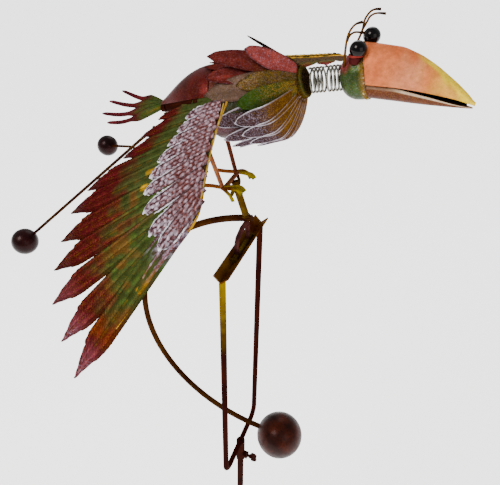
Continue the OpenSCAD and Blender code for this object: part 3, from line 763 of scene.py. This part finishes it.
# Each leaf: angle, x0, length, width, r0, rise, bulge, style, seed and lean.
# Angle 0 is the top, and positive angles turn to the bird's right.
ring_of("back_plumage", "back_feathers", (112, 15.6), [
    (24, 110, 43, 25, 17.6, 43, 0.1, pink_style, 5, 28),
    (-6, 109, 48, 9, 17.6, 46, 0.1, dark_style, 9),
    (26, 110, 86, 26, 16.6, 50, 0.55, red_style, 2, 12),
    (43, 110, 93, 26, 16.4, 39, 0.6, red_style, 12),
    (-30, 110, 92, 26, 16.6, 29, 0.55, red_style, 3),
    (12, 109, 104, 26, 15.8, 32, 0.5, red_style, 6),
    (-10, 109, 106, 26, 15.8, 32, 0.5, red_style, 8),
    (60, 110, 58, 21, 17.0, 31, 0.8, olive_style, 11),
    (-60, 110, 58, 23, 16.8, 28, 0.8, olive_style, 13)])
ring_of("flank_plumage", "flank_feathers", (111, 16), [
    (s * a, 109, l, w, r0, 32, 0.85, st, sd + (20 if s > 0 else 0))
    for s in (1, -1)
    for a, l, w, r0, st, sd in (
        (63, 98, 28, 17.6, taupe_style, 1),
        (83, 60, 24, 18.2, green_style, 4),
        (78, 100, 28, 15.8, moss_style, 2),
        (102, 98, 27, 16, grey_style, 6))])
ring_of("breast_plumage_inner", "breast_feathers_inner", (110, 16.4), [
    (s * a, 108, 92, 25, 16.2, 39, 0.9, grey_style, sd + (20 if s > 0 else 0))
    for s in (1, -1) for a, sd in ((123, 31), (143, 32), (162, 33))] + [
    (180, 108, 92, 25, 16.2, 39, 0.9, grey_style, 34)])
ring_of("breast_plumage_outer", "breast_feathers_outer", (109, 17.2), [
    (s * a, 107, 64, 22, 18.8, 39, 0.95, grey_style, sd + (20 if s > 0 else 0))
    for s in (1, -1) for a, sd in ((101, 41), (119, 42), (137, 43), (155, 44), (173, 45))])


# ---------- Shells, collar and tail ----------
def lathe(name, place, profile, colour, mat, node, body, segs=72, thick=1.0):
    """A turned sheet from (length, radius) points in mm along place's X."""
    p = spline([(x, r, 0) for x, r in profile], 6)
    a = np.linspace(0, 2 * math.pi, segs, endpoint=False)
    r = np.abs(p[:, 1])[:, None] + 0 * a
    x = p[:, 0][:, None] + 0 * a
    c, fx, dr = colour(x / p[:, 0].max(), a[None, :] + 0 * x, x, r)
    b = Batch()
    r = r + dr
    b.grid(place(x, r * np.sin(a), r * np.cos(a)), c, fx, wrap=True)
    o = b.make(name, mat, thick=thick)
    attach(o, body)
    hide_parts(node)


def rear_colour(u, a, x, r):
    blot = cloud(x / 9, a * 3, 3)
    c = mix(mix(rgb("5e1c22"), rgb("7a2a2e"), blot), rgb("7c6c74"),
        0.2 * step(0.75, 1.0, np.cos(a - 0.1)) * step(0.5, 0.9, u))
    c = mix(c, rgb("6a5a3a"), 0.5 * step(0.12, 0.0, u))
    seam = np.exp(-(np.abs(a - math.pi) / 0.03) ** 2)
    return mix(c, INK, 0.5 * seam), three(0.15, 0.04, 0) + 0 * c, -0.5 * seam


def front_colour(u, a, x, r):
    blot = cloud(x / 8, a * 3, 6)
    c = mix(mix(rgb("6d2428"), rgb("7d4a3c"), blot), PLUM, 0.9 * step(0.5, -0.2, np.cos(a)))
    c = mix(c, rgb("3a2a2a"), 0.6 * step(-0.3, -0.9, np.cos(a)))
    return c, three(0.2, 0.15, 0) + 0 * c, 0 * x


n = 10
hull = [(88 * i / n, 6 + 35 * math.sin(math.radians(100 * i / n)) ** 1.1) for i in range(1, n + 1)]
lathe("rear_shell", rear, [(0, 6)] + hull, rear_colour, smooth_paint, "rear_body_shell", "rocker")
n = 12
hull = [
    (112 * i / n, 14.6 + 26.4 * math.cos(math.pi / 2 * i / n) + 4 * math.sin(math.pi * i / n))
    for i in range(n + 1)]
lathe("front_shell", front, hull, front_colour, smooth_paint, "front_body_shell", "rocker")


def collar_colour(u, a, x, r):
    blot = cloud(x / 2, a * 4, 6)
    # painted shade: the disc's face is darkened inside a radius of 13 to 14.6 mm, standing in for
    # the shaded gap round the spring
    c = mix(mix(rgb("4c5a2c"), rgb("6e5a2e"), blot), rgb("2e2a1a"), step(14.6, 13, r))
    return c, three(0.3, 0.05, 0) + 0 * c, 0.5 * cloud(x / 1.5, a * 9, 2)


disc = [(111.2, 15.6), (111.8, 16.4), (112.6, 16.7), (113.4, 16.3), (113.8, 15), (113.6, 9),
    (113.4, 0.4)]
lathe("collar_disc", front, disc, collar_colour, paint, "neck_collar", "rocker",
    thick=0.8)

# Yaw in degrees, lift and length in mm of each finger
FINGERS = ((-26, -9, 84), (-10, -1, 92), (8, 8, 90), (25, 15, 84))
b = Batch()
for k, (yaw, lift, l) in enumerate(FINGERS):
    u, v = np.meshgrid(np.linspace(0, 1, 50), np.linspace(-1, 1, 9), indexing="ij")
    half = 7.6 * np.sin(math.pi * np.clip(u * 0.6 + 0.2, 0, 1)) ** 1.1 * np.clip((1 - u) / 0.06,
        0.1, 1) ** 0.5 + 0.3
    half = half * (1 - 0.66 * step(0.35, 0.6, u))
    ya = math.radians(yaw)
    x = 2 - u * l * math.cos(ya)
    y = math.sin(ya) * l * np.sin(u * 1.45) * 0.72 + v * half
    z = lift * u - 3 * u + 7 * step(0.55, 1.0,
        u) * u ** 2 + 1.4 * np.abs(v) * (1 - u) + 0.6 * v * half
    blot = cloud(u * 9 + k * 3, v + k, 3)
    turn_red = step(0.34, 0.58, u + 0.15 * (blot - 0.5) + 0.08 * np.abs(v))
    c = mix(mix(mix(GREEN, LIME, 0.35), MOSS, blot), mix(RED, MAROON, blot), turn_red)
    c = mix(c, GOLD, 0.3 * np.exp(-(v / 0.3) ** 2) * step(0.5, 0.1, u))
    b.grid(rear(x, y, z), mix(c, INK, 0.4 * step(0.7, 1, np.abs(v))), three(0.3 * (1 - u), 0.05, 0))
tail = b.make("tail_plumage", paint, thick=1.2)
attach(tail, "rocker")
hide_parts("tail_fan")


# ---------- Neck spring ----------
COIL_R, WIRE_R, HALF_COIL, TURNS = 12.9, 1.08, 18.5, 4


def coil(name, start, length, turns, node):
    """One half of the neck spring, start mm along the neck."""
    q = np.linspace(0, 1, int(turns * 40) + 1)
    a = q * turns * 2 * math.pi
    x, y, z = start + 1.1 + q * (length - 2.2), COIL_R * np.sin(a), COIL_R * np.cos(a)
    path = np.stack([
        NECK_X + x * NECK_COS - z * NECK_SIN, y, NECK_Z + x * NECK_SIN + z * NECK_COS], -1)
    b = Batch()
    add_tube(b, path, WIRE_R, colour=np.broadcast_to(rgb("c6c4ba"), (len(path), 3)), sides=12,
        ref=(1, 0, 0))
    o = b.make(name, wire)
    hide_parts(node)
    return o


def along_neck(d):
    return tuple(P(NECK_X + d * NECK_COS, 0, NECK_Z + d * NECK_SIN))


rear_coil = coil("neck_coil_rear", 0, HALF_COIL, TURNS, "neck_spring_rear")
along_neck(1)
along_neck(HALF_COIL - 1)
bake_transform(rear_coil)
front_coil = coil("neck_coil_front", HALF_COIL, HALF_COIL, TURNS, "neck_spring_front")
along_neck(HALF_COIL + 1)
along_neck(2 * HALF_COIL - 1)
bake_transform(front_coil)


# ---------- Head ----------
def head_colour(u, a, x, r):
    blot = cloud(x / 5, a * 3, 3)
    fine = cloud(x / 1.5, a * 9, 5)
    top = step(0.4, 0.75, np.cos(a) + 0.3 * (blot - 0.5) - 0.9 * (u - 0.75))
    c = mix(mix(rgb("3f5a30"), rgb("557042"), blot), mix(rgb("7b3337"), rgb("9d5555"), fine), top)
    c = mix(c, rgb("8f7a34"), 0.8 * step(0.93, 1.0, u))
    return c, three(0.2, 0.1, 0) + 0 * c, 0.25 * fine


dome = [(37.4, 13.2), (38.2, 14.6), (40, 17.2), (43, 20), (47, 22.4), (52, 23.8), (58, 24.2),
    (62, 24)]
lathe("head_skin", neck, dome, head_colour, smooth_paint, "head_shell", "head")


RIM_FACE = 64.2  # how far along the neck the rim's front face lies


def rim_colour(u, a, x, r):
    lump = np.clip(np.sin(a * 19) * np.sin(a * 7 + 1), 0, 1) * step(0.2, 0.8, cloud(a * 5, x, 2))
    c = mix(mix(rgb("6d5a26"), rgb("9a8238"), cloud(x, a * 8, 4)), rgb("e6dfc0"),
        0.8 * step(0.35, 0.8, lump))
    return c, three(0.5, 0.2, 0) + 0 * c, 1.2 * lump


rim = [(61.2, 23.6), (61.6, 24.7), (62.6, 25.1), (63.8, 24.6), (64.4, 23.2), (64.4, 17),
    (RIM_FACE, 10)]
lathe("beak_rim_band", neck, rim, rim_colour, paint, "beak_rim", "head", segs=160,
    thick=0.8)


def clamp_back(pts):
    """Push points forward onto the rim's face."""
    d = (pts[..., 0] - NECK_X) * NECK_COS + (pts[..., 2] - NECK_Z) * NECK_SIN
    short = np.clip(RIM_FACE - d, 0, None)
    pts[..., 0] += short * NECK_COS
    pts[..., 2] += short * NECK_SIN
    return pts


def beak_part(name, node, xs, z_in, z_out, half, power, shade, flip):
    """Half a beak from its inner and outer heights and half widths in mm at the places xs."""
    q = np.linspace(0, 1, 90)
    x = xs[0] + (xs[-1] - xs[0]) * q
    zi, zo, hw = (np.interp(x, xs, k) for k in (z_in, z_out, half))
    zi, zo, hw = (np.convolve(np.pad(k, 3, mode="edge"), np.ones(7) / 7, "valid")
        for k in (zi, zo, hw))
    a = np.linspace(-math.pi / 2, math.pi / 2, 41)
    sy = np.sign(np.sin(a)) * np.abs(np.sin(a)) ** power[0]
    cz = np.abs(np.cos(a)) ** power[1]
    pts = np.stack([x[:, None] + 0 * a, hw[:, None] * sy, zi[:, None] + (zo - zi)[:, None] * cz],
        -1)
    pts = clamp_back(pts)
    u, v = np.meshgrid(q, a / (math.pi / 2), indexing="ij")
    c, fx = shade(u, v)
    b = Batch()
    b.grid(P(pts[..., 0], pts[..., 1], pts[..., 2]), c, fx, flip=flip)
    o = b.make(name, beak_paint, thick=1.1)
    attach(o, "head")
    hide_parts(node)


def upper_shade(u, v):
    blot = cloud(u * 14, v * 3, 2)
    fine = cloud(u * 60, v * 14, 4)
    c = mix(mix(rgb("df8c5e"), rgb("e89c70"), blot), rgb("cf8256"), 0.35 * fine)
    # painted highlight: a cream patch on the upper beak's sides, about mid-way along
    c = mix(c, rgb("f2cfae"), 0.22 * step(0.2, 0.4, u) * step(0.62, 0.45, u)
        * step(0.2, 0.8, np.abs(v) + 0.3 * blot))
    culmen = np.clip(1 - np.abs(v) / (0.3 + 0.7 * step(0.45, 1.0, u)), 0, 1)
    yellow = step(0.4, 0.6, u) * step(0.05, 0.45, culmen + 0.25 * (blot - 0.5)) + step(0.8, 0.92, u)
    c = mix(c, rgb("efcf62"), 0.55 * step(0.52, 0.8, u + 0.1 * blot))
    c = mix(c, mix(rgb("f0cf1c"), rgb("f4e14e"), fine), 0.95 * np.clip(yellow, 0, 1))
    c = mix(c, rgb("9c6a40"), 0.5 * step(0.9, 1.0, np.abs(v)))
    return c, three(0.12 + 0.2 * u, 0.02, 0)


def lower_shade(u, v):
    blot = cloud(u * 14, v * 3, 7)
    c = mix(rgb("6c4232"), rgb("805640"), blot)
    c = mix(c, rgb("ecd9c0"), (0.15 + 0.7 * step(0.25, 0.45, u)) * step(0.9, 0.97, np.abs(v)))
    return c, three(0.3, 0.04, 0)


beak_part("beak_upper_skin", "beak_upper",
    [132, 144, 171, 190, 206, 228, 242, 249.4],
    [264.4, 264.8, 265, 263.6, 261.8, 258.2, 254.4, 251.6],
    [299.5, 300, 299.5, 293.5, 285.5, 271.5, 261, 253.5],
    [23.5, 23.2, 19.5, 16.4, 13.4, 8.4, 4.2, 0.8], (1.25, 1.1), upper_shade, True)
beak_part("beak_lower_skin", "beak_lower",
    [132, 144, 171, 190, 206, 228, 242, 248],
    [263.6, 263.9, 263.5, 260, 257, 252.2, 249.8, 249.4],
    [245.6, 246, 246.3, 246.4, 246.8, 247.8, 248.6, 249],
    [22, 21.6, 17.6, 14.2, 11.2, 6.4, 2.8, 0.8], (0.9, 0.8), lower_shade, False)
# painted shadow: a near-black sheet just under the upper beak, standing in for the shade inside the
# mouth
q = np.linspace(0, 1, 40)
x = 138 + q * 104
hw = np.interp(x, [138, 171, 206, 228, 242], [20, 16.6, 10.4, 5.6, 2])
w = np.linspace(-1, 1, 11)
roof = np.interp(x, [138, 171, 190, 228, 242], [263.4, 262.8, 260.4, 254, 251])
shadow_pts = np.stack([
    x[:, None] + 0 * w, hw[:, None] * w * 0.96, roof[:, None] + 1.2 * (1 - w ** 2)], -1)
b = Batch()
b.grid(P(shadow_pts[..., 0], shadow_pts[..., 1], shadow_pts[..., 2]), np.broadcast_to(rgb("120a09"), shadow_pts.shape))
mouth = b.make("mouth_shadow_sheet", paint, thick=0.6)
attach(mouth, "head")


# ---------- Eyes and lashes ----------
def eye_ring(side, colour, mat):
    """An uneven wire ring round one eye's seat."""
    b = Batch()
    a = np.linspace(0, 2 * math.pi, 49)
    c = np.array([131.6, 15.0, 295.4] if side > 0 else [127.2, -15.0, 290.8])
    rad = (4.4 if side > 0 else 7.4) + 0.25 * np.sin(a * 5)
    path = np.stack([c[0] + rad * np.cos(a), c[1] + rad * np.sin(a),
        c[2] + 1.2 * np.cos(a) + 0 * a], -1)
    add_tube(b, path, 1.3, colour=colour, sides=10, ref=(0, 0, 1))
    o = b.make(WORD[side] + "_eye_ring", mat)
    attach(o, "head")


eye_ring(1, GOLD, gold_paint)
eye_ring(-1, RED, ring_paint)


def lash(side):
    """The forked wire on one side of the head; the left one stands higher."""
    b = Batch()
    main = [(116, 15, 277), (120, 16.5, 292), (124, 17, 306), (125.2, 17, 317), (129.5, 16, 325),
        (134, 16, 328), (140, 16, 328.8)]
    fork = [(124.4, 17, 308), (128, 13.5, 315.5), (131, 12.5, 322), (137, 12, 325.5),
        (146, 12, 326)]
    if side < 0:
        main = [(116, -15, 277), (115.6, -17, 292), (116, -17, 306), (118.2, -16.5, 314),
            (122.5, -16, 320), (129, -16, 322.8)]
        fork = [(116.2, -17, 303), (117.5, -15, 308), (122, -13, 311.6), (132, -13, 312.2)]
    for route, thick, taper, seed in ((main, 1.3, 0.35, 3), (fork, 1.2, 0.3, 5)):
        route = spline(route, 8)
        q = np.linspace(0, 1, len(route))
        c = mix(DARK_LASH, PALE_LASH, cloud(q * 20, 0 * q, seed))
        c = mix(c, OLD_LASH, step(0.7, 0.9, q))
        flat = 1 - 0.35 * step(0.75, 1, q)
        add_tube(b, route, thick - taper * q, colour=c, sides=10, squash=flat, ref=(0, 1, 0))
    o = b.make(WORD[side] + "_lash_wires", paint)
    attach(o, "head")
    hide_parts("lashes_" + WORD[side])


lash(1)
lash(-1)


# ---------- Feet ----------
def foot(side):
    """Four bent wire toes on the perch."""
    y = side * 22
    b = Batch()
    green, brown = rgb("a79433"), rgb("8a5a34")

    def toe(points, r0, flat, dark=False):
        p = spline(points, 8)
        q = np.linspace(0, 1, len(p))
        c = mix(mix(brown, green, step(0.3, 0.6, q)), rgb("6f7a2a"), step(0.75, 1, q) * 0.6)
        if dark:
            c = mix(c, rgb("4a2c20"), 0.8 + 0 * q)
        squash = 1 - flat * step(0.5, 0.85, q)
        add_tube(b, p, 1.35 * r0 * (1 - 0.12 * q), colour=c, sides=12, squash=squash, ref=(0, 1, 0))

    toe([(-46, y, 103), (-34, y - side, 104.5), (-20, y, 106), (-6, y - side * 3, 108.5),
        (4, y - side * 4, 108.5), (9, y - side * 4, 104)], 1.9, 0.4)
    toe([(-20, y + side * 2, 105), (-8, y + side, 107), (2, y + side, 107), (7, y + side, 102)],
        1.6, 0.4)
    toe([(-20, y + side, 106), (-12, y + side * 7, 106), (-5, y + side * 9.5, 102),
        (-1, y + side * 10, 95)], 1.7, 0.4)
    toe([(-19, y - side, 106), (-13, y - side * 7, 103), (-10, y - side * 11, 97),
        (-13, y - side * 13, 88)], 1.7, 0.3, True)
    o = b.make(WORD[side] + "_toes", paint)
    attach(o, "rocker")
    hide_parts("foot_" + WORD[side])


foot(1)
foot(-1)


# ---------- Weld beads ----------
def bead(name, centre, axis, r, body, mat, size=1.3):
    """An uneven ring of weld round a joint."""
    n = 72
    a = np.linspace(0, 2 * math.pi, n, endpoint=False)
    ax = np.array(axis, float)
    ax /= np.linalg.norm(ax)
    u = np.cross(ax, (0.3, 0.9, 0.2))
    u /= np.linalg.norm(u)
    v = np.cross(ax, u)
    wob = size * (0.8 + 0.5 * cloud(a * 4, a * 0, len(name)))
    k = np.linspace(0, 2 * math.pi, 9, endpoint=False)
    ring = np.cos(a)[:, None] * u + np.sin(a)[:, None] * v
    pts = np.array(centre, float) + (r + wob[:, None] * np.cos(k))[..., None] * ring[:,
        None] + (wob[:, None] * np.sin(k))[..., None] * ax
    i, j = np.meshgrid(np.arange(n), np.arange(9), indexing="ij")
    here, after, j2 = i * 9, (i + 1) % n * 9, (j + 1) % 9
    f = np.stack([here + j, here + j2, after + j2, after + j], -1).reshape(-1, 4)
    p = pts.reshape(-1, 3)
    o = finish_mesh(name, P(p[:, 0], p[:, 1], p[:, 2]), f.tolist(), mat)
    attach(o, body)


bead("weld_arm_ball", (62, 0, -411), (1, 0, 0.05), 4.6, "rocker", rust_ball, 1.4)
bead("weld_stem", (5, 0, 55), (-0.33, 0, 1), 4.7, "rocker", olive, 1.3)
bead("weld_collar_bail", (0, 0, -472), (0, 1, 0), 4.6, "yoke", rust, 1.0)


# ---------- Materials of the CAD nodes that stay ----------
LOOK = {
    dark_iron: ["ground_fork", "pole_lower", "pole_coupling", "channel_stops", "pivot_bar"],
    channel_paint: ["bearing_channel"],
    rust: ["pole_upper", "yoke_sleeve", "screw_nut", "thumb_screw", "wing_bracket_left",
        "wing_bracket_right", "left_hinge_tube", "right_hinge_tube"],
    bail_paint: ["yoke_bail"],
    rust_ball: ["counterweight_ball"],
    maroon_ball: ["left_ball", "right_ball"],
    arm_paint: ["counterweight_arm", "left_counter_rod", "right_counter_rod"],
    plum_fork: ["rocker_fork"],
    olive: ["perch_stem"],
    copper: ["foot_crossbar", "leg_right"],
    red_brown: ["leg_left"],
    seat_paint: ["eye_seats"],
    wire: ["hinge_pin_left", "hinge_pin_right"],
    gloss: ["eye_left", "eye_right"],
}
for material, names in LOOK.items():
    for name in names:
        data = frame["nodes"][name].data
        data.materials.clear()
        data.materials.append(material)


# ---------- Floor and light ----------
FLOOR, GAP = 8, 0.002  # half the floor's width, and its depth below the spike's tip
m, t, bsdf = nodes_of("floor")
t.links.new(ramp(t, noise_node(t, 3), [(0.3, 0.83), (0.7, 0.86)]), bsdf.inputs["Base Color"])
bsdf.inputs["Roughness"].default_value = 0.8
bsdf.inputs["Emission Color"].default_value = (1, 1, 1, 1)
bsdf.inputs["Emission Strength"].default_value = 2.2
corners = [(-FLOOR, -FLOOR, 0), (FLOOR, -FLOOR, 0), (FLOOR, FLOOR, 0), (-FLOOR, FLOOR, 0)]
floor = finish_mesh("floor", corners, [(0, 1, 2, 3)], m, flat=True)
floor.location.z = cad_box[0][2] - GAP

world = bpy.data.worlds.new("studio")
bpy.context.scene.world = world
world.use_nodes = True
world.node_tree.nodes["Background"].inputs[0].default_value = (1, 1, 1, 1)
world.node_tree.nodes["Background"].inputs[1].default_value = 0.6


def area(name, at, look, size, watts):
    o = bpy.data.objects.new(name, bpy.data.lights.new(name, "AREA"))
    o.data.size = size
    o.data.energy = watts
    bpy.context.scene.collection.objects.link(o)
    o.location = at
    o.rotation_euler = (Vector(look) - Vector(at)).to_track_quat("-Z", "Y").to_euler()


area("key", (-0.9, -1.3, 2.7), (0, 0, 1.0), 1.0, 45)
area("fill", (1.6, -1.2, 1.8), (0, 0, 1.0), 1.4, 12)
area("rim", (-0.4, 1.8, 2.4), (0, 0, 1.1), 1.2, 9)
